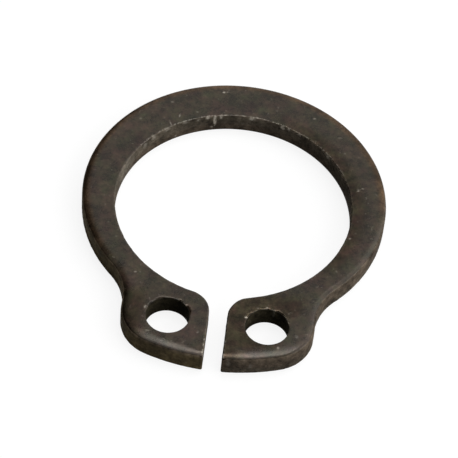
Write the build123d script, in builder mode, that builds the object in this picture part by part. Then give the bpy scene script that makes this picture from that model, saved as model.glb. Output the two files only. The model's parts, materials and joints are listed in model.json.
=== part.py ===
"""An external circlip: a one-piece spring ring that snaps into a groove round a shaft.

It lies flat, unsprung. The origin is the centre of the bore on the lower face, +Z is up,
and the gap between its two plier lugs points to -Y.
"""
from build123d import *
from math import acos, atan2, degrees, hypot, sin, sqrt, radians, tan
import os

# The flat ring, in millimetres
BORE = 11.0               # inside diameter, unsprung
THICKNESS = 1.0           # of the strip that the ring is punched from
BACK_WIDTH = 2.12         # radial width opposite the gap, where the rim is widest
RIM_OFFSET = 0.52         # of the rim's circle from the bore's centre, away from the gap
GAP = 0.83                # between the two tips

# The two plier lugs
LUG_HEIGHT = 3.6          # from the bore's circle to the lugs' outer arc
PLIER_HOLE = 1.97         # diameter of each plier hole
GAP_WALL = 0.84           # from the gap to a plier hole
TIP_WALL = 0.76           # from a plier hole to the lugs' outer arc
SIDE_WALL = 1.15          # from a plier hole to the outer side of its lug
CORNER_RADIUS = 2.01      # the round outer corner of a lug
NECK_RADIUS = 2.84        # the hollow where a lug runs out into the rim

# The inner edge beside the gap, where it leaves the bore's circle
FLANK_ANGLE = 23.5        # degrees from the bore's middle line down to its start
FLANK_GROWTH = 0.24       # its arc's radius over the bore's
MOUTH_RADIUS = 1.14       # the round corner into the gap

# The edges that punching leaves
ROLL_DEPTH = 0.075        # how far the outer edge is drawn down
ROLL_WIDTH = 0.32         # how far that reaches in over the upper face
ROLL_CROWN = 2.0          # the gentle bend from the upper face into the roll
ROLL_NOSE = 0.1           # the tight bend from the roll into the outer wall
INNER_ROLL = 0.1          # the rounded lower edge of the bore, the gap and the holes
EDGE_BREAK = 0.06         # the radius that tumbling gives every other edge
CROWN_SHARE = 0.71        # of the roll's slope that the gentle bend may take
NOSE_SHARE = 0.27         # of it that the tight bend may take
WEB_SHARE = 0.4           # of the web beside a plier hole that one rounded lower edge may take

bore_radius = BORE / 2
hole_radius = PLIER_HOLE / 2
half_gap = GAP / 2
rim_radius = bore_radius + BACK_WIDTH - RIM_OFFSET
lug_radius = bore_radius + LUG_HEIGHT
hole_x = half_gap + GAP_WALL + hole_radius
hole_y = -sqrt((lug_radius - TIP_WALL - hole_radius) ** 2 - hole_x**2)
side_x = hole_x + hole_radius + SIDE_WALL

# The sharp corners of the outline, before they are rounded
neck_angle = -degrees(acos(side_x / rim_radius))
corner_angle = -degrees(acos(side_x / lug_radius))
neck = (side_x, RIM_OFFSET + rim_radius * sin(radians(neck_angle)))
corner = (side_x, lug_radius * sin(radians(corner_angle)))

# Each rounding keeps to its own half of the lug's straight side
side_y = (neck[1] + corner[1]) / 2
corner_room = (lug_radius**2 - side_x**2 - side_y**2) / (2 * (lug_radius - side_x))
neck_room = ((RIM_OFFSET - side_y) ** 2 - rim_radius**2 + side_x**2) / (2 * (rim_radius - side_x))
corner_radius = min(CORNER_RADIUS, corner_room)
neck_radius = min(NECK_RADIUS, neck_room)

# The flank's arc touches the bore's circle where it starts
flank_radius = bore_radius + FLANK_GROWTH
flank_centre = Vector(-FLANK_GROWTH, 0).rotate(Axis.Z, -FLANK_ANGLE)
flank_end = -degrees(acos((half_gap - flank_centre.X) / flank_radius))

# The rounded lower edges share the web between a plier hole and the flank
hole_web = (Vector(hole_x, hole_y) - flank_centre).length - flank_radius - hole_radius
inner_roll = min(INNER_ROLL, WEB_SHARE * hole_web)

# The roll is a slope with a bend at its top and one at its foot
slope_angle = atan2(ROLL_DEPTH, ROLL_WIDTH)
slope_length = hypot(ROLL_DEPTH, ROLL_WIDTH)
crown_radius = min(ROLL_CROWN, CROWN_SHARE * slope_length / tan(slope_angle / 2))
nose_radius = min(ROLL_NOSE, NOSE_SHARE * slope_length / tan((radians(90) - slope_angle) / 2))

with BuildPart() as circlip:
    # The blank: the rim's circle run out into the two lugs, as one half and its mirror image
    with BuildSketch() as blank:
        with BuildLine():
            rim = CenterArc((0, RIM_OFFSET), rim_radius, 90, neck_angle - 90)
            Line(neck, corner)
            lug_end = CenterArc((0, 0), lug_radius, corner_angle, -90 - corner_angle)
            Line(lug_end @ 1, rim @ 0)
        make_face()
        fillet(blank.vertices().sort_by_distance(neck)[0], neck_radius)
        fillet(blank.vertices().sort_by_distance(corner)[0], corner_radius)
        mirror(about=Plane.YZ)
    extrude(amount=THICKNESS)

    # The outer edge is drawn down over the upper face all the way round
    upper_face = circlip.faces().sort_by(Axis.Z)[-1]
    chamfer(upper_face.edges(), ROLL_WIDTH, ROLL_DEPTH, reference=upper_face)
    fillet(circlip.faces().sort_by(Axis.Z)[-1].edges(), crown_radius)
    nose_height = THICKNESS - ROLL_DEPTH
    nearby = ROLL_DEPTH / 4
    nose_edges = circlip.edges().filter_by_position(Axis.Z, nose_height - nearby, nose_height + nearby)
    fillet(nose_edges, nose_radius)

    # The bore, its flanks, the gap and the plier holes are cut out of the blank
    with BuildSketch() as opening:
        with BuildLine():
            bore = CenterArc((0, 0), bore_radius, 90, -90 - FLANK_ANGLE)
            flank = CenterArc(flank_centre, flank_radius, -FLANK_ANGLE, flank_end + FLANK_ANGLE)
            mouth = flank @ 1
            Polyline(mouth, (half_gap, -lug_radius), (0, -lug_radius), bore @ 0)
        make_face()
        fillet(opening.vertices().sort_by_distance(mouth)[0], MOUTH_RADIUS)
        mirror(about=Plane.YZ)
        with Locations((-hole_x, hole_y), (hole_x, hole_y)):
            Circle(hole_radius)
    extrude(amount=THICKNESS, mode=Mode.SUBTRACT)

    # The cut rounds its own lower edges, but not the lugs' outer ones that it shortens
    cut_edges = circlip.edges(Select.LAST).group_by(Axis.Z)[0]
    inner_edges = cut_edges.filter_by(lambda edge: (edge @ 0.5).length < lug_radius - inner_roll)
    fillet(inner_edges, inner_roll)

    # The break runs on from the upright edges at the tips, along the upper edge of the gap and
    # the bore and the lower edge of the outside, because each meets the next smoothly
    tip_edges = circlip.edges().filter_by(Axis.Z).sort_by(Axis.Y)[:2]
    hole_edges = circlip.edges().group_by(Axis.Z)[-1].filter_by(lambda edge: edge.is_closed)
    fillet(tip_edges + hole_edges, EDGE_BREAK)

circlip.part.label = "circlip"
os.makedirs("parts", exist_ok=True)
export_step(circlip.part, "parts/circlip.step")
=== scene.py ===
"""The looks of an external circlip: a punched, phosphated and oiled spring-steel ring.

The ring's mesh is built here from the same outline as its solid, so that its punched edges
and walls can have the wear of the real ones. Lengths are in millimetres where no comment
says metres, and the finished mesh is in metres.
"""
import json
import math
from collections import namedtuple
import bpy
import numpy as np
from mathutils import Matrix, Vector, kdtree, noise
from mathutils.geometry import delaunay_2d_cdt


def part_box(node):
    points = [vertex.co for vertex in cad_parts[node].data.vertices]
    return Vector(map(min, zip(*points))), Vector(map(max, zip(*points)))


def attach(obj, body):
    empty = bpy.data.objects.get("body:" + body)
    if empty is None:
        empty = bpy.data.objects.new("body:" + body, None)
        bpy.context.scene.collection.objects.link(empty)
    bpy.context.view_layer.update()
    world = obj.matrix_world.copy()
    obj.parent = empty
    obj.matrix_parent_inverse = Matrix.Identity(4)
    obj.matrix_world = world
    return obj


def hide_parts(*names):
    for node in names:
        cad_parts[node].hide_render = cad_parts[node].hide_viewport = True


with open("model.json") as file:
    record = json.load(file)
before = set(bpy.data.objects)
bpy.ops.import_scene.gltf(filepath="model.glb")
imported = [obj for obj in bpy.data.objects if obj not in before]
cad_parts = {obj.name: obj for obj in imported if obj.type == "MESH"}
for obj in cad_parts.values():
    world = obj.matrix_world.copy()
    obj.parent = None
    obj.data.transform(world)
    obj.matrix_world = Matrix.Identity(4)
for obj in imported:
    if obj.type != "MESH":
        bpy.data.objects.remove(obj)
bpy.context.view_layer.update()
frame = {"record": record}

MM = 0.001

# The ring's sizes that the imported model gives
high_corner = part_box("circlip")[1]
mounts = {mount["name"]: mount for mount in frame["record"]["mounts"]}
hole_mount = mounts["plier_hole_right"]
THICKNESS = high_corner.z / MM
RIM_RADIUS = high_corner.x / MM
RIM_OFFSET = high_corner.y / MM - RIM_RADIUS
BORE_RADIUS = mounts["shaft_bore"]["dims"]["r_mm"]
HOLE_RADIUS = hole_mount["dims"]["r_mm"]
HOLE_X = hole_mount["pos_m"][0] / MM
HOLE_Y = hole_mount["pos_m"][1] / MM

# The rest of its outline
LUG_HEIGHT = 3.6
GAP = 0.83
SIDE_WALL = 1.15
CORNER_RADIUS = 2.01
NECK_RADIUS = 2.84
FLANK_ANGLE = 23.5
FLANK_GROWTH = 0.24
MOUTH_RADIUS = 1.14

# Its edges
ROLL_FALL = 0.075
ROLL_REACH = 0.8
ROLL_POWER = 3            # how fast the roll steepens towards the wall
ROLL_NARROWING = 0.42     # the share of its reach that it loses in the necks and by the gap
ROLL_WIDENING = 0.3       # the share that it gains at the lugs' corners
NECK_Y = -3.9             # the middle of the necks
NECK_SPAN = 1.6
ROLL_NOSE = 0.12
LUG_NOSE = 0.17           # the same bend round the lugs, where the edge is drawn down harder
INNER_ROLL = 0.1
EDGE_BREAK = 0.06
HOLE_BREAK = 0.012        # of a plier hole's upper edge, which tumbling reaches least

# The relief of its surface
TEARS = 0.013             # of the broken steel on the walls
FINE_TEARS = 0.007
TORN_SINK = 0.006         # how far the broken steel lies behind the rubbed band
SMEARS = 0.003            # of the rubbed band
FACE_WAVES = 0.0011
FINE_FACE_WAVES = 0.0006
NOTCH_DEPTH = 0.13        # of the breaks in the plier holes' far rims
BURR_HEIGHT = 0.008
NICK_DEPTH = 0.006

# The mesh
COLUMN_SPACING = 0.05     # along the edges
UPPER_SPACING = 0.06      # over the upper face
LOWER_SPACING = 0.13      # over the lower face
NICK_SPACING = 0.022      # round a nick in the upper face
EDGE_TURNS = (84, 70, 53, 36, 18, 0)      # degrees from the wall at which an edge has a row
WALL_ROWS = 15
FIRST_WALL_ROW = 2        # where the face's finish ends and the walls' starts
EDGE_ROOM = 0.35          # the share of a face's spacing that stays free beside its edges
INSIDE_LOOPS = 4          # the kind of triangulation that keeps only what lies inside the loops
SAME_PLACE = 1e-7         # how near two points are one
MARK_FADE = 1.5           # how many times its own size a mark reaches before it has faded out

half_gap = GAP / 2
side_x = HOLE_X + HOLE_RADIUS + SIDE_WALL
lug_radius = BORE_RADIUS + LUG_HEIGHT
flank_radius = BORE_RADIUS + FLANK_GROWTH
flank_turn = math.radians(-FLANK_ANGLE)
flank_centre = (-FLANK_GROWTH * math.cos(flank_turn), -FLANK_GROWTH * math.sin(flank_turn))
rim_centre = (0, RIM_OFFSET)

# Marks on the upper face, with their heading in degrees
Nick = namedtuple("Nick", "x y length width heading strength")
NICKS = [Nick(*values) for values in (
    (-1.18, 6.93, 0.13, 0.10, 20, 0.5),
    (-1.00, 6.98, 0.16, 0.06, 10, 0.15),
    (-3.55, 5.92, 0.17, 0.10, 0, 0.15),
    (-3.11, 5.10, 0.20, 0.07, 80, 0.3),
    (-3.46, 4.47, 0.42, 0.05, -63, 0.2),
    (-4.95, 4.60, 0.15, 0.10, 30, 0.1),
    (-2.30, 5.45, 0.12, 0.08, 0, 0.12),
    (-4.82, -5.09, 0.14, 0.08, 70, 0.3),
    (-3.98, -4.75, 0.12, 0.08, 20, 0.2),
    (-3.29, -6.68, 0.16, 0.09, 85, 0.3),
    (-3.01, -8.00, 0.18, 0.10, 0, 0.12),
    (-0.80, -7.75, 0.14, 0.09, 60, 0.15),
    (1.26, -6.61, 0.12, 0.10, 0, 0.5),
    (1.73, -6.00, 0.12, 0.08, 40, 0.1),
    (2.14, -5.92, 0.12, 0.09, 0, 0.15),
    (2.83, -8.10, 0.13, 0.12, 70, 0.2),
    (3.60, -7.35, 0.16, 0.14, 0, 0.12),
    (5.54, -1.31, 0.12, 0.08, 30, 0.2),
    (6.15, -3.17, 0.13, 0.08, 0, 0.2),
    (5.72, 1.67, 0.14, 0.09, 40, 0.25),
    (5.92, 1.84, 0.10, 0.08, 0, 0.2),
    (3.30, 5.91, 0.14, 0.08, 10, 0.2),
    (4.90, 3.90, 0.10, 0.08, 0, 0.15),
)]

# Marks on the walls, with their middle at x, y and z
WallMark = namedtuple("WallMark", "x y z width height strength")
WALL_MARKS = [WallMark(*values) for values in (
    (-1.43, 5.31, 0.73, 0.11, 0.60, 1.0),
    (-1.14, 5.38, 0.92, 0.12, 0.26, 0.6),
    (-1.77, 5.21, 0.93, 0.16, 0.14, 0.6),
    (-1.57, 5.27, 0.27, 0.12, 0.10, 0.35),
    (-2.20, 5.04, 0.88, 0.16, 0.14, 0.3),
    (-2.78, 4.74, 0.92, 0.30, 0.14, 0.2),
    (-3.20, 4.47, 0.22, 0.12, 0.10, 0.3),
    (-3.62, 4.14, 0.92, 0.34, 0.16, 0.25),
    (-4.17, 3.59, 0.86, 0.22, 0.24, 0.3),
    (-4.52, 3.13, 0.80, 0.26, 0.34, 0.2),
    (-5.28, 1.55, 0.60, 1.60, 0.90, 0.12),
    (0.36, 5.49, 0.90, 0.28, 0.16, 0.9),
    (1.83, 5.19, 0.88, 0.18, 0.18, 0.9),
    (2.12, 5.07, 0.94, 0.14, 0.12, 0.6),
    (2.66, 4.81, 0.92, 0.14, 0.14, 0.6),
    (4.11, 3.65, 0.88, 0.24, 0.22, 0.3),
    (2.46, -6.05, 0.80, 0.10, 0.40, 0.12),
    (0.72, -9.07, 0.72, 0.18, 0.40, 0.1),
    (1.70, -8.94, 0.50, 0.22, 0.34, 0.1),
)]


def angle_to(start, end):
    """The heading in degrees from one point to another."""
    return math.degrees(math.atan2(end[1] - start[1], end[0] - start[0]))


def arc(centre, radius, start, end, side=1, least=2):
    """Points of an arc between two angles in degrees, without its last one, each with its normal.

    A row is x, y and the normal, which points away from the centre, or to it where side is -1.
    """
    steps = max(least, round(abs(math.radians(end - start)) * radius / COLUMN_SPACING))
    turns = np.radians(np.linspace(start, end, steps, endpoint=False))
    outward = np.stack([np.cos(turns), np.sin(turns)], 1)
    return np.hstack([np.array(centre) + radius * outward, side * outward])


def line(start, end, normal):
    """Points of a straight run without its last one, each with the run's normal."""
    steps = max(2, round(math.dist(start, end) / COLUMN_SPACING))
    shares = np.linspace(0, 1, steps, endpoint=False)[:, None]
    points = np.array(start) + shares * (np.array(end) - np.array(start))
    return np.hstack([points, np.tile(normal, (steps, 1))])


def mirrored(rows):
    """The rows' mirror image in the plane through the gap."""
    return rows * np.array([-1, 1, -1, 1])


def outer_half(to_gap):
    """The right half of the outer edge, from its back to the lug's arc at the angle to_gap."""
    neck_centre_x = side_x + NECK_RADIUS
    neck_reach = RIM_RADIUS + NECK_RADIUS
    neck_centre = (neck_centre_x, RIM_OFFSET - math.sqrt(neck_reach**2 - neck_centre_x**2))
    corner_centre_x = side_x - CORNER_RADIUS
    corner_reach = lug_radius - CORNER_RADIUS
    corner_centre = (corner_centre_x, -math.sqrt(corner_reach**2 - corner_centre_x**2))
    neck_angle = angle_to(rim_centre, neck_centre)
    corner_angle = angle_to((0, 0), corner_centre)
    return np.vstack([
        arc(rim_centre, RIM_RADIUS, 90, neck_angle),
        arc(neck_centre, NECK_RADIUS, neck_angle + 180, 180, side=-1),
        line((side_x, neck_centre[1]), (side_x, corner_centre[1]), (1, 0)),
        arc(corner_centre, CORNER_RADIUS, 0, corner_angle),
        arc((0, 0), lug_radius, corner_angle, to_gap),
    ])


def inner_half(from_y):
    """The right half of the inner edge, from the gap at the height from_y to the bore's back."""
    mouth_x = half_gap + MOUTH_RADIUS
    mouth_reach = flank_radius + MOUTH_RADIUS
    mouth_y = flank_centre[1] - math.sqrt(mouth_reach**2 - (mouth_x - flank_centre[0]) ** 2)
    mouth_centre = (mouth_x, mouth_y)
    mouth_angle = angle_to(flank_centre, mouth_centre)
    return np.vstack([
        line((half_gap, from_y), (half_gap, mouth_y), (-1, 0)),
        arc(mouth_centre, MOUTH_RADIUS, 180, mouth_angle + 180),
        arc(flank_centre, flank_radius, mouth_angle, -FLANK_ANGLE, side=-1),
        arc((0, 0), BORE_RADIUS, -FLANK_ANGLE, 90, side=-1),
    ])


def ring_loop():
    """The ring's whole edge as one closed loop, clockwise from the back of its rim."""
    tip_x = half_gap + EDGE_BREAK
    tip_centre = (tip_x, -math.sqrt((lug_radius - EDGE_BREAK) ** 2 - tip_x**2))
    tip_angle = angle_to((0, 0), tip_centre)
    half = np.vstack([
        outer_half(tip_angle),
        arc(tip_centre, EDGE_BREAK, tip_angle, -180, least=6),
        inner_half(tip_centre[1]),
        [[0, BORE_RADIUS, 0, -1]],
    ])
    return np.vstack([half, mirrored(half[-2:0:-1])])


def hole_loop(side):
    """The edge of a plier hole as a closed loop."""
    return arc((side * HOLE_X, HOLE_Y), HOLE_RADIUS, 0, 360, side=-1)


class Contour:
    """A line of points with normals, which gives how far inside it a place lies."""

    def __init__(self, rows):
        self.rows = rows
        self.tree = kdtree.KDTree(len(rows))
        for index, row in enumerate(rows):
            self.tree.insert((row[0], row[1], 0), index)
        self.tree.balance()

    def depth(self, places):
        """How far in from the line each place lies, along the nearest point's normal."""
        nearest = [self.tree.find((x, y, 0))[1] for x, y in places]
        rows = self.rows[nearest]
        return np.sum((rows[:, :2] - places) * rows[:, 2:], 1)


def outer_contour():
    """The outer edge, run on across the gap."""
    half = outer_half(-90)
    return Contour(np.vstack([half, mirrored(half)]))


def inner_contour():
    """The bore, its flanks, the gap run on past the tips, and the plier holes."""
    half = inner_half(-lug_radius - GAP)
    return Contour(np.vstack([half, mirrored(half), hole_loop(1), hole_loop(-1)]))


def blend(value, low, high):
    """0 below low, 1 above high, and a smooth run between them."""
    share = np.clip((value - low) / (high - low), 0, 1)
    return share * share * (3 - 2 * share)


def round_drop(depth, radius):
    """How far a rounded edge lies below its face, at a depth in from the wall."""
    inward = radius - np.clip(depth, 0, radius)
    return radius - np.sqrt(radius**2 - inward**2)


def nose_radius(places):
    """The radius of the outer edge's tight bend beside each place."""
    return ROLL_NOSE + (LUG_NOSE - ROLL_NOSE) * blend(-places[:, 1], 4.0, 7.0)


def roll_reach(places):
    """How far the roll reaches in beside each place.

    It is less in the necks and by the gap, and more at the lugs' corners.
    """
    x, y = np.abs(places[:, 0]), places[:, 1]
    neck = np.exp(-(((y - NECK_Y) / NECK_SPAN) ** 2))
    tip = (1 - blend(x, 0.5, 1.9)) * (y < -BORE_RADIUS)
    corner = blend(x, 2.4, 3.4) * blend(-y, 6.2, 7.2)
    return ROLL_REACH * (1 - ROLL_NARROWING * np.maximum(neck, tip) + ROLL_WIDENING * corner)


def break_radius(places):
    """The radius of the inner edges' break beside each place."""
    away = np.hypot(np.abs(places[:, 0]) - HOLE_X, places[:, 1] - HOLE_Y)
    return np.where(away < HOLE_RADIUS + 2 * EDGE_BREAK, HOLE_BREAK, EDGE_BREAK)


def roll_drop(depth, reach, nose):
    """How far the drawn-down outer edge lies below the upper face, at a depth in from the wall.

    It steepens towards the wall as the real roll does, and ends in a tight bend of the radius nose.
    """
    steepness = ROLL_POWER * ROLL_FALL / reach
    # The tight bend starts where its slope is the roll's, which a few steps find
    start = nose
    for _ in range(4):
        slope = np.arctan(steepness * (1 - start / reach) ** (ROLL_POWER - 1))
        start = nose * (1 - np.sin(slope))
    bend = ROLL_FALL * (1 - np.clip(depth / reach, 0, 1)) ** ROLL_POWER
    bend_start = ROLL_FALL * (1 - start / reach) ** ROLL_POWER
    tight = bend_start - round_drop(start, nose) + round_drop(depth, nose)
    return np.where(depth < start, tight, bend)


def waves(places, scale, seed):
    """Smooth noise from about -1 to 1 at each place, with scale waves in a millimetre."""
    shift = Vector((seed, 7.3 * seed, 3.1 * seed))
    return np.array([noise.noise(Vector(place) * scale + shift) for place in places])


def hexagon_grid(low, high, spacing):
    """Points of an even triangular grid over a rectangle."""
    row_step = spacing * math.sqrt(3) / 2
    rows = np.arange(low[1], high[1], row_step)
    steps = np.arange(low[0], high[0], spacing)
    offsets = spacing / 2 * (np.arange(len(rows)) % 2)
    x = steps[None, :] + offsets[:, None]
    y = np.repeat(rows[:, None], len(steps), 1)
    return np.stack([x.ravel(), y.ravel()], 1)


def nick_frame(places, nick):
    """Each place seen from a nick: along its length and across it."""
    turn = math.radians(nick.heading)
    away = places - np.array((nick.x, nick.y))
    along = away @ np.array([math.cos(turn), math.sin(turn)])
    across = away @ np.array([-math.sin(turn), math.cos(turn)])
    return along, across


def nick_cover(places):
    """How much of each place the nicks cover, from 0 to 1."""
    cover = np.zeros(len(places))
    for nick in NICKS:
        along, across = nick_frame(places, nick)
        reach = np.hypot(along / (nick.length / 2), across / (nick.width / 2))
        cover = np.maximum(cover, nick.strength * np.clip(MARK_FADE - reach, 0, 1))
    return cover


def wall_cover(points):
    """How much of each point the marks on the walls cover, from 0 to 1."""
    cover = np.zeros(len(points))
    for mark in WALL_MARKS:
        along = np.hypot(points[:, 0] - mark.x, points[:, 1] - mark.y)
        reach = np.hypot(along / (mark.width / 2), (points[:, 2] - mark.z) / (mark.height / 2))
        cover = np.maximum(cover, mark.strength * np.clip(MARK_FADE - reach, 0, 1))
    return cover


def near_nick(places, nick, margin):
    """Which places lie within a margin of a nick."""
    along, across = nick_frame(places, nick)
    beside = np.abs(along) < nick.length / 2 + margin
    return beside & (np.abs(across) < nick.width / 2 + margin)


def with_nick_points(places):
    """The places, closer together round each nick."""
    for nick in NICKS:
        reach = nick.length + 4 * NICK_SPACING
        centre = np.array((nick.x, nick.y))
        fine = hexagon_grid(centre - reach, centre + reach, NICK_SPACING)
        fine = fine[near_nick(fine, nick, 2 * NICK_SPACING)]
        kept = places[~near_nick(places, nick, 3.5 * NICK_SPACING)]
        places = np.vstack([kept, fine])
    return places


def joined(loops):
    """The edges that close each loop of so many points, as pairs of indices."""
    pairs = []
    start = 0
    for size in loops:
        pairs += [(start + step, start + (step + 1) % size) for step in range(size)]
        start += size
    return pairs


def fills_hole(loops_of_corners):
    """Whether a triangle's corners are all on one plier hole's edge, so that it lies in the hole."""
    first = loops_of_corners[0]
    return first > 0 and bool(np.all(loops_of_corners == first))


def triangles(boundary, loops, inside):
    """Triangles between the boundary's loops and through the points inside them."""
    corners = [Vector(place) for place in np.vstack([boundary, inside])]
    made = delaunay_2d_cdt(corners, joined(loops), [], INSIDE_LOOPS, SAME_PLACE)
    _, _, found, originals, _, _ = made
    loop_of = np.append(np.repeat(np.arange(len(loops)), loops), [-1] * len(inside))
    faces = [[originals[corner][0] for corner in face] for face in found]
    return [face for face in faces if not fills_hole(loop_of[face])]


def torn_cover(level, height, on_inner_wall):
    """Which part of a wall is broken steel: the top of an inner wall, the foot of an outer one."""
    drift = 0.07 * waves(level, 0.9, 4) + 0.03 * waves(level, 4.0, 5)
    inner_torn = blend(height + drift, 0.42, 0.46)
    outer_torn = 1 - blend(height + drift, 0.34, 0.38)
    return np.where(on_inner_wall, inner_torn, outer_torn)


def dull_cover(flat, outer, inner):
    """Where the face is dull: along the bore's right side, on the right lug, at the left corner."""
    x, y = flat[:, 0], flat[:, 1]
    beside_bore = blend(x, 0.5, 3.5) * blend(y, -4.5, -2.5) * (1 - blend(inner, 0.2, 1.0))
    reach = x + blend(-y, 5.8, 7.0)
    on_lug = blend(-y, 4.6, 5.6) * blend(x, 0.0, 0.2) * (1 - blend(reach, 3.2, 4.4))
    on_lug = on_lug * np.maximum(blend(outer, 0.4, 0.8), 1 - blend(x, 0.7, 1.5))
    left_corner = blend(-x, 3.0, 3.7) * blend(-y, 5.2, 6.2)
    return np.maximum(np.maximum(beside_bore, on_lug), left_corner)


class Ring:
    """The ring's mesh, built as columns down its edges and points over its two faces."""

    def __init__(self):
        self.outer = outer_contour()
        self.inner = inner_contour()
        loops = [ring_loop(), hole_loop(1), hole_loop(-1)]
        self.loops = [len(loop) for loop in loops]
        columns = np.vstack(loops)
        self.base, self.normal = columns[:, :2], columns[:, 2:]
        self.count = len(columns)
        self.places = []
        self.outward = []
        self.faces = []
        self.finish_of = []

    def upper(self, places):
        """The height of the upper face and its edges at each place."""
        outer = np.maximum(self.outer.depth(places), 0)
        inner = np.maximum(self.inner.depth(places), 0)
        roll = roll_drop(outer, roll_reach(places), nose_radius(places))
        return THICKNESS - roll - round_drop(inner, break_radius(places))

    def lower(self, places):
        """The height of the lower face and its edges at each place."""
        outer = np.maximum(self.outer.depth(places), 0)
        inner = np.maximum(self.inner.depth(places), 0)
        return round_drop(outer, EDGE_BREAK) + round_drop(inner, INNER_ROLL)

    def add_row(self, places, height, outward):
        """Adds points at their heights, each with the direction that its relief follows."""
        self.places.append(np.hstack([places, height[:, None]]))
        self.outward.append(outward)

    def edge_row(self, turn, radius, height_of, up):
        """A row of points round a rounded edge, at an angle from the wall."""
        turn = math.radians(turn)
        places = self.base - self.normal * (radius * (1 - math.cos(turn)))[:, None]
        tilt = np.full((self.count, 1), up * math.sin(turn))
        outward = np.hstack([self.normal * math.cos(turn), tilt])
        self.add_row(places, height_of(places), outward)

    def add_rows(self):
        """All the rows, from the upper face's last one down to the lower face's first."""
        from_gap = blend(self.inner.depth(self.base), EDGE_BREAK, 4 * EDGE_BREAK)
        from_rim = blend(self.outer.depth(self.base), EDGE_BREAK, 4 * EDGE_BREAK)
        upper_radius = break_radius(self.base) + (nose_radius(self.base) - EDGE_BREAK) * from_gap
        lower_radius = EDGE_BREAK + (INNER_ROLL - EDGE_BREAK) * from_rim
        for turn in EDGE_TURNS:
            self.edge_row(turn, upper_radius, self.upper, 1)
        wall_top = self.upper(self.base)
        wall_foot = self.lower(self.base)
        flat = np.hstack([self.normal, np.zeros((self.count, 1))])
        for row in range(1, WALL_ROWS + 1):
            share = row / (WALL_ROWS + 1)
            self.add_row(self.base, wall_top + share * (wall_foot - wall_top), flat)
        for turn in reversed(EDGE_TURNS):
            self.edge_row(turn, lower_radius, self.lower, -1)
        rows = len(self.places)
        pairs = joined(self.loops)
        last_wall_row = rows - len(EDGE_TURNS)
        for row in range(rows - 1):
            above, below = row * self.count, (row + 1) * self.count
            self.faces += [(below + a, above + a, above + b, below + b) for a, b in pairs]
            self.finish_of += [int(FIRST_WALL_ROW <= row <= last_wall_row)] * len(pairs)

    def add_face(self, row, spacing, height_of, up):
        """One flat face, from its row of points inwards."""
        boundary = self.places[row][:, :2]
        reach = lug_radius + spacing
        inside = hexagon_grid((-reach, -reach), (reach, reach), spacing)
        if up > 0:
            inside = with_nick_points(inside)
        outer_edge = nose_radius(inside) if up > 0 else EDGE_BREAK
        inner_edge = EDGE_BREAK if up > 0 else INNER_ROLL
        room = np.minimum(self.outer.depth(inside) - outer_edge, self.inner.depth(inside) - inner_edge)
        inside = inside[room > spacing * EDGE_ROOM]
        first = sum(len(places) for places in self.places)
        start = row * self.count
        self.add_row(inside, height_of(inside), np.tile((0.0, 0.0, up), (len(inside), 1)))
        for face in triangles(boundary, self.loops, inside):
            corners = [start + c if c < self.count else first + c - self.count for c in face]
            self.faces.append(corners if up > 0 else corners[::-1])
            self.finish_of.append(0)

    def build(self):
        """All the points and faces, with the masks that the wear and the coat follow."""
        self.add_rows()
        last_row = len(self.places) - 1
        self.add_face(0, UPPER_SPACING, self.upper, 1)
        self.add_face(last_row, LOWER_SPACING, self.lower, -1)
        points = np.vstack(self.places)
        outward = np.vstack(self.outward)
        masks = self.masks(points, outward)
        relief = self.relief(points, outward, masks)
        return points + outward * relief[:, None], masks

    def masks(self, points, outward):
        """How far each point belongs to the parts of the surface that have their own finish.

        The roll is the drawn-down edge, torn the broken steel, crest an inner edge that is worn
        bright, burr a fine ridge along it, dull a darker face, and notch a plier hole's broken far
        rim. Painted
        shade is carried too: near-black in the plier holes' walls (hole) and notches, and an olive
        tint on the left outer walls (oily).
        """
        flat = points[:, :2]
        x, y = flat[:, 0], flat[:, 1]
        level = np.hstack([flat, np.zeros((len(flat), 1))])
        height = points[:, 2] / THICKNESS
        outer = np.maximum(self.outer.depth(flat), 0)
        inner = np.maximum(self.inner.depth(flat), 0)
        above = blend(height, 0.5, 0.6)
        wall = 1 - np.abs(outward[:, 2])
        at_wall = 1 - blend(np.minimum(inner, outer), 0.04, 0.1)
        hole = np.hypot(np.abs(x) - HOLE_X, y - HOLE_Y) < HOLE_RADIUS * 1.1
        # The roll is bronze round the left side and the back, and the crest is brightest at the
        # back and at the tips
        rim = blend(y - 4.0 * blend(x, 0.0, 4.0), -5.0, -2.0)
        sharp = np.maximum(blend(y, 2.0, 3.5), blend(-y, 7.6, 8.2))
        edge = above * np.where(inner < outer, 1 - blend(inner, 0.05, 0.1), 0)
        ridge = (1 - blend(inner, 0.03, 0.07)) * blend(waves(level, 1.7, 9), -0.1, 0.5)
        far_side = blend(y - HOLE_Y, 0.1, 0.5) * blend(height, 0.5, 0.95)
        face_nick = nick_cover(flat) * above * (1 - wall)
        return {
            "roll": above * rim * (1 - blend(outer, 0.12, 0.5)),
            "wall": wall,
            "hole": wall * hole,
            # the left outer walls, which face away from the lights, get a painted shade tint
            "oily": wall * (outer < inner) * (1 - blend(x, -0.5, 0.5)),
            "torn": wall * torn_cover(level, height, inner < outer),
            "crest": edge * (0.2 + 0.8 * sharp) * (1 - hole),
            "nick": np.maximum(face_nick, wall_cover(points) * at_wall),
            "burr": above * (1 - hole) * ridge,
            "dull": dull_cover(flat, outer, inner) * (1 - wall),
            "notch": hole * far_side * (1 - blend(inner, 0.02, 0.09)),
        }

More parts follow.
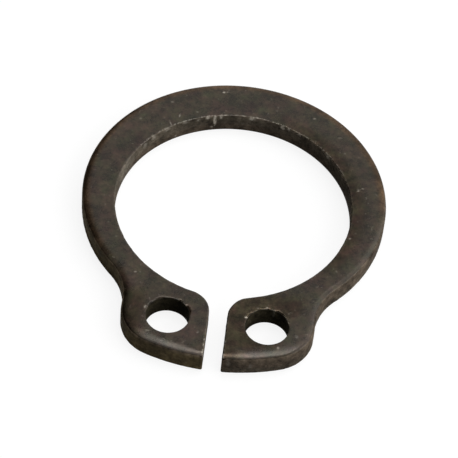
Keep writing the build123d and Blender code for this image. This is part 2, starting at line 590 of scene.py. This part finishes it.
    def relief(self, points, outward, masks):
        """How far each point stands out of the true surface, in millimetres."""
        upright = points * (1, 1, 0.35)
        tear = TEARS * waves(upright, 5, 1) + FINE_TEARS * waves(upright, 13, 2)
        smear = SMEARS * waves(upright, 2.2, 3)
        face = FACE_WAVES * waves(points, 1.2, 6) + FINE_FACE_WAVES * waves(points, 4.5, 7)
        torn = masks["torn"] * (tear - TORN_SINK)
        wall = masks["wall"] * smear * (1 - masks["torn"])
        upper = (outward[:, 2] > 0) * (1 - masks["wall"]) * face
        notch = masks["notch"] * NOTCH_DEPTH * np.minimum(waves(upright, 3.4, 8) + 0.1, 0)
        return torn + wall + upper + notch + BURR_HEIGHT * masks["burr"] - NICK_DEPTH * masks["nick"]


def make_ring(face_coat, wall_coat):
    """The ring as one mesh, in the place of its solid."""
    ring = Ring()
    points, masks = ring.build()
    mesh = bpy.data.meshes.new("circlip_ring")
    mesh.from_pydata((points * MM).tolist(), [], ring.faces)
    mesh.shade_smooth()
    for name, values in masks.items():
        layer = mesh.attributes.new(name, "FLOAT", "POINT")
        layer.data.foreach_set("value", values.astype(np.float32))
    mesh.materials.append(face_coat)
    mesh.materials.append(wall_coat)
    mesh.polygons.foreach_set("material_index", ring.finish_of)
    piece = bpy.data.objects.new("circlip_ring", mesh)
    bpy.context.scene.collection.objects.link(piece)
    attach(piece, "root")
    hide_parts("circlip")


def node(tree, kind, inputs=None, **settings):
    """Adds a node, sets it and joins or sets its inputs."""
    made = tree.nodes.new(kind)
    for name, value in settings.items():
        setattr(made, name, value)
    for name, value in (inputs or {}).items():
        if isinstance(value, bpy.types.NodeSocket):
            tree.links.new(value, made.inputs[name])
        else:
            made.inputs[name].default_value = value
    return made


def mask(tree, name):
    """One of the ring's masks."""
    return node(tree, "ShaderNodeAttribute", attribute_name=name).outputs["Fac"]


def clouds(tree, place, scale, detail=2.0, rough=0.5):
    """Noise with scale waves in a millimetre."""
    inputs = {"Vector": place, "Scale": scale, "Detail": detail, "Roughness": rough}
    return node(tree, "ShaderNodeTexNoise", inputs).outputs["Fac"]


def ramp(tree, value, low, high, to_low=0.0, to_high=1.0):
    """A value's run from low to high, brought to another range and held at its ends."""
    inputs = {"Value": value, "From Min": low, "From Max": high, "To Min": to_low, "To Max": to_high}
    return node(tree, "ShaderNodeMapRange", inputs).outputs["Result"]


def math_of(tree, operation, first, second):
    """Two numbers put together."""
    return node(tree, "ShaderNodeMath", {0: first, 1: second}, operation=operation).outputs[0]


def mix(tree, share, first, second, way="MIX"):
    """Two colours mixed."""
    inputs = {0: share, 6: first, 7: second}
    return node(tree, "ShaderNodeMix", inputs, data_type="RGBA", blend_type=way).outputs[2]


def new_material(name):
    """An empty material with its tree and its surface output."""
    material = bpy.data.materials.new(name)
    material.use_nodes = True
    material.node_tree.nodes.clear()
    output = node(material.node_tree, "ShaderNodeOutputMaterial")
    return material, material.node_tree, output.inputs["Surface"]


# The colours of the coat and of the steel under it, and the near-black and olive of the painted shade
# in the plier holes and on the left outer walls
GREEN_GREY = (0.0350, 0.0325, 0.0160, 1)
PURPLE_BROWN = (0.0445, 0.0250, 0.0180, 1)
ROLL_BROWN = (0.0800, 0.0490, 0.0270, 1)
WALL_GREY = (0.0890, 0.0690, 0.0500, 1)
TORN_GREY = (0.0990, 0.0820, 0.0610, 1)
# painted shade: the more olive tint of the left outer walls, which face away from the lights
SHADED_SIDE_OLIVE = (0.0920, 0.0700, 0.0370, 1)
# painted shade: near-black for the plier holes' walls, rims and broken far rims, where shade falls
HOLE_SHADE_BLACK = (0.0280, 0.0235, 0.0140, 1)
BARE_STEEL = (0.52, 0.47, 0.39, 1)

# How strongly clouds and grain change the coat's colour
FACE_MOTTLE = 0.56
FACE_GRAIN = 0.2
WALL_MOTTLE = 0.65
WALL_GRAIN = 0.22

# Its gloss, with the height of its fine bumps in metres
FACE_ROUGHNESS = (0.17, 0.23)
FACE_METAL = 0.4
BRONZE_METAL = 0.78       # of the roll and of the dull face
FACE_GLOSS = 0.5
FACE_BUMPS = 0.0000006
WALL_ROUGHNESS = 0.8
TORN_ROUGHNESS = 0.15     # what torn steel adds to it
WALL_GLOSS = 0.06
WALL_BUMPS = 0.0000012
RIM_ROUGHNESS = 0.6       # what a plier hole's rim adds to the face's


def ring_place(tree):
    """The ring's own coordinates, in millimetres."""
    metres = node(tree, "ShaderNodeTexCoord").outputs["Object"]
    return node(tree, "ShaderNodeMapping", {"Vector": metres, "Scale": (1 / MM,) * 3}).outputs[0]


def toned(tree, colour, place, spread, fine):
    """A colour made lighter and darker by clouds and by grain."""
    broad = ramp(tree, clouds(tree, place, 0.9, 1), 0.3, 0.7, 1 - 0.5 * spread, 1 + 0.5 * spread)
    shade = ramp(tree, clouds(tree, place, 2.6, 4, 0.7), 0.3, 0.7, 1 - spread, 1 + spread)
    grain = ramp(tree, clouds(tree, place, 9, 2, 0.7), 0.3, 0.7, 1 - fine, 1 + fine)
    tone = math_of(tree, "MULTIPLY", math_of(tree, "MULTIPLY", broad, shade), grain)
    grey = node(tree, "ShaderNodeCombineColor", {0: tone, 1: tone, 2: tone}).outputs[0]
    return mix(tree, 1.0, colour, grey, "MULTIPLY")


def chipped(tree, place):
    """The marks, broken up as chips in a coat are."""
    breaks = ramp(tree, clouds(tree, place, 7, 2), 0.4, 0.52, 0.4, 1.7)
    return math_of(tree, "MULTIPLY", mask(tree, "nick"), breaks)


def steel(tree, colour, bare, rough, bump, metal, gloss):
    """The surface of a thin coat on steel, which shows bare at some places."""
    shader = node(tree, "ShaderNodeBsdfPrincipled", {
        "Base Color": mix(tree, bare, colour, BARE_STEEL),
        "Metallic": metal,
        "Roughness": rough,
        "Specular IOR Level": gloss,
        "Normal": bump.outputs[0],
    })
    return shader.outputs[0]


def phosphated_face():
    """A thin dark phosphate coat, oiled, with bare steel at nicks and on sharp edges."""
    material, tree, surface = new_material("phosphated_face")
    place = ring_place(tree)
    patches = ramp(tree, clouds(tree, place, 1.1, 5, 0.7), 0.34, 0.66)
    coat = mix(tree, patches, GREEN_GREY, PURPLE_BROWN)
    coat = mix(tree, mask(tree, "roll"), coat, ROLL_BROWN)
    coat = mix(tree, mask(tree, "wall"), coat, WALL_GREY)
    # Painted shade: the plier holes' rims and the breaks in their far rims are coloured near-black,
    # with less metal and more roughness, as shade falls there
    notch = ramp(tree, mask(tree, "notch"), 0.6, 1.0)
    rim = math_of(tree, "MAXIMUM", ramp(tree, mask(tree, "hole"), 0.0, 0.1), notch)
    coat = mix(tree, rim, coat, HOLE_SHADE_BLACK)
    coat = toned(tree, coat, place, FACE_MOTTLE, FACE_GRAIN)
    specks = ramp(tree, clouds(tree, place, 6, 3, 0.7), 0.46, 0.66, 0.0, 0.5)
    worn = math_of(tree, "MULTIPLY", mask(tree, "crest"), specks)
    flecks = ramp(tree, clouds(tree, place, 5.5, 1), 0.7, 0.78, 0.0, 0.1)
    bare = math_of(tree, "MAXIMUM", math_of(tree, "MAXIMUM", worn, flecks), chipped(tree, place))
    rough = ramp(tree, clouds(tree, place, 1.6, 3, 0.6), 0.3, 0.7, *FACE_ROUGHNESS)
    rough = math_of(tree, "ADD", rough, math_of(tree, "MULTIPLY", rim, RIM_ROUGHNESS))
    fine = clouds(tree, place, 24, 3, 0.65)
    bump = node(tree, "ShaderNodeBump", {"Height": fine, "Strength": 1.0, "Distance": FACE_BUMPS})
    bronze = math_of(tree, "MAXIMUM", mask(tree, "roll"), mask(tree, "dull"))
    metal = ramp(tree, bronze, 0.0, 1.0, FACE_METAL, BRONZE_METAL)
    metal = math_of(tree, "MULTIPLY", metal, ramp(tree, mask(tree, "wall"), 0.1, 0.7, 1.0, 0.0))
    metal = math_of(tree, "MULTIPLY", metal, ramp(tree, rim, 0.0, 1.0, 1.0, 0.0))
    tree.links.new(steel(tree, coat, bare, rough, bump, metal, FACE_GLOSS), surface)
    return material


def punched_wall():
    """The coat on the punched walls: torn steel, and the smooth band that the punch rubbed."""
    material, tree, surface = new_material("punched_wall")
    place = ring_place(tree)
    upright = node(tree, "ShaderNodeMapping", {"Vector": place, "Scale": (1, 1, 0.2)}).outputs[0]
    torn = mask(tree, "torn")
    coat = mix(tree, torn, WALL_GREY, TORN_GREY)
    # Painted shade: the left outer walls, which face away from the lights, are tinted olive
    coat = mix(tree, mask(tree, "oily"), coat, SHADED_SIDE_OLIVE)
    # Painted shade: the plier holes' walls are coloured near-black, as shade falls in them
    coat = mix(tree, mask(tree, "hole"), coat, HOLE_SHADE_BLACK)
    coat = toned(tree, coat, place, WALL_MOTTLE, WALL_GRAIN)
    rough = math_of(tree, "MULTIPLY", torn, TORN_ROUGHNESS)
    rough = math_of(tree, "ADD", WALL_ROUGHNESS, rough)
    rough = math_of(tree, "MAXIMUM", rough, mask(tree, "hole"))
    streaks = math_of(tree, "MULTIPLY", clouds(tree, upright, 16, 3, 0.6), torn)
    streaks = math_of(tree, "MULTIPLY", streaks, 4.0)
    height = math_of(tree, "ADD", clouds(tree, place, 24, 3, 0.65), streaks)
    bump = node(tree, "ShaderNodeBump", {"Height": height, "Strength": 1.0, "Distance": WALL_BUMPS})
    flecks = ramp(tree, clouds(tree, place, 4.5, 2), 0.66, 0.76, 0.0, 0.08)
    bare = math_of(tree, "MAXIMUM", flecks, chipped(tree, place))
    tree.links.new(steel(tree, coat, bare, rough, bump, 0.0, WALL_GLOSS), surface)
    return material


# The floor: its own white, how bright it is seen, and how far it reaches in metres
FLOOR_WHITE = (0.2, 0.2, 0.2, 1)
FLOOR_GLOW = 0.85
FLOOR_REACH = 4.0


def floor_material():
    """A white floor that is seen as white and still takes the object's shadow."""
    material, tree, surface = new_material("studio_floor")
    matt = node(tree, "ShaderNodeBsdfDiffuse", {"Color": FLOOR_WHITE})
    glow = node(tree, "ShaderNodeEmission", {"Color": (1, 1, 1, 1)})
    path = node(tree, "ShaderNodeLightPath")
    seen = math_of(tree, "MAXIMUM", path.outputs["Is Camera Ray"], path.outputs["Is Glossy Ray"])
    seen = math_of(tree, "MAXIMUM", seen, path.outputs["Is Transmission Ray"])
    tree.links.new(math_of(tree, "MULTIPLY", seen, FLOOR_GLOW), glow.inputs["Strength"])
    both = node(tree, "ShaderNodeAddShader", {0: matt.outputs[0], 1: glow.outputs[0]})
    tree.links.new(both.outputs[0], surface)
    return material


def make_floor():
    """A wide floor just under the ring."""
    reach = FLOOR_REACH
    corners = [(-reach, -reach, 0), (reach, -reach, 0), (reach, reach, 0), (-reach, reach, 0)]
    mesh = bpy.data.meshes.new("studio_floor")
    mesh.from_pydata(corners, [], [(0, 1, 2, 3)])
    mesh.materials.append(floor_material())
    floor = bpy.data.objects.new("studio_floor", mesh)
    bpy.context.scene.collection.objects.link(floor)


def heading_vector(azimuth, elevation):
    """The direction at an azimuth to the right of +Y and an elevation, in degrees."""
    a, e = math.radians(azimuth), math.radians(elevation)
    return Vector((math.sin(a) * math.cos(e), math.cos(a) * math.cos(e), math.sin(e)))


# The lights: azimuth and elevation in degrees, distance, width and height in metres, radiance
LIGHTS = {
    "key": (5, 69, 0.4, 0.16, 0.10, 4.4),
    "back_card": (15, 35, 0.6, 0.61, 0.485, 0.92),
    "right_card": (66, 39, 0.6, 0.61, 0.58, 1.2),
    "side_fill": (110, 26, 0.7, 0.9, 0.62, 1.95),
}


def make_softbox(name, azimuth, elevation, distance, width, height, radiance):
    """A rectangular light that faces the ring, as bright as a white of that radiance."""
    data = bpy.data.lights.new(name, "AREA")
    data.shape = "RECTANGLE"
    data.size = width
    data.size_y = height
    data.energy = radiance * math.pi * width * height
    box = bpy.data.objects.new(name, data)
    away = heading_vector(azimuth, elevation)
    box.location = away * distance
    box.rotation_mode = "QUATERNION"
    box.rotation_quaternion = away.to_track_quat("Z", "Y")
    bpy.context.scene.collection.objects.link(box)


# The studio's walls: the glow overhead, with where it starts and its peak, and the horizon's top
GLOW_EDGE = 0.83
GLOW_PEAK = 1.5
HORIZON_TOP = (0.06, 0.16)


def make_world():
    """A plain studio: a glow overhead, a white horizon, and dark walls between them."""
    world = bpy.data.worlds.new("studio")
    world.use_nodes = True
    tree = world.node_tree
    tree.nodes.clear()
    heading = node(tree, "ShaderNodeTexCoord").outputs["Generated"]
    rise = node(tree, "ShaderNodeSeparateXYZ", {0: heading}).outputs["Z"]
    overhead = ramp(tree, rise, GLOW_EDGE, 1.0, 0.0, GLOW_PEAK)
    horizon = ramp(tree, rise, *HORIZON_TOP, 1.0, 0.0)
    level = math_of(tree, "MAXIMUM", overhead, horizon)
    sky = node(tree, "ShaderNodeBackground", {"Color": (1, 1, 1, 1), "Strength": level})
    output = node(tree, "ShaderNodeOutputWorld")
    tree.links.new(sky.outputs[0], output.inputs["Surface"])
    bpy.context.scene.world = world


# The photograph's viewpoint: what it looks at in millimetres, and how it is turned
CAMERA_TARGET = (-0.0708, -0.7467, 0)
CAMERA_AZIMUTH = 1.86
CAMERA_ELEVATION = 49.86
CAMERA_ROLL = 5.42
CAMERA_DISTANCE = 116.45
LENS_PIXELS = 2500
PHOTO_PIXELS = 458
SENSOR = 36


def make_camera():
    """The camera at the photograph's viewpoint."""
    data = bpy.data.cameras.new("camera")
    data.sensor_width = SENSOR
    data.lens = SENSOR * LENS_PIXELS / PHOTO_PIXELS
    data.clip_start = 0.01
    camera = bpy.data.objects.new("camera", data)
    back = heading_vector(180 - CAMERA_AZIMUTH, CAMERA_ELEVATION)
    right = Vector((0, 0, 1)).cross(back).normalized()
    up = back.cross(right)
    roll = math.radians(CAMERA_ROLL)
    turned_right = right * math.cos(roll) + up * math.sin(roll)
    turned_up = up * math.cos(roll) - right * math.sin(roll)
    turn = Matrix((turned_right, turned_up, back)).transposed()
    place = (Vector(CAMERA_TARGET) + back * CAMERA_DISTANCE) * MM
    camera.matrix_world = Matrix.Translation(place) @ turn.to_4x4()
    bpy.context.scene.collection.objects.link(camera)
    bpy.context.scene.camera = camera


make_ring(phosphated_face(), punched_wall())
make_floor()
for light, values in LIGHTS.items():
    make_softbox(light, *values)
make_world()
make_camera()
bpy.context.scene.view_settings.view_transform = "Standard"
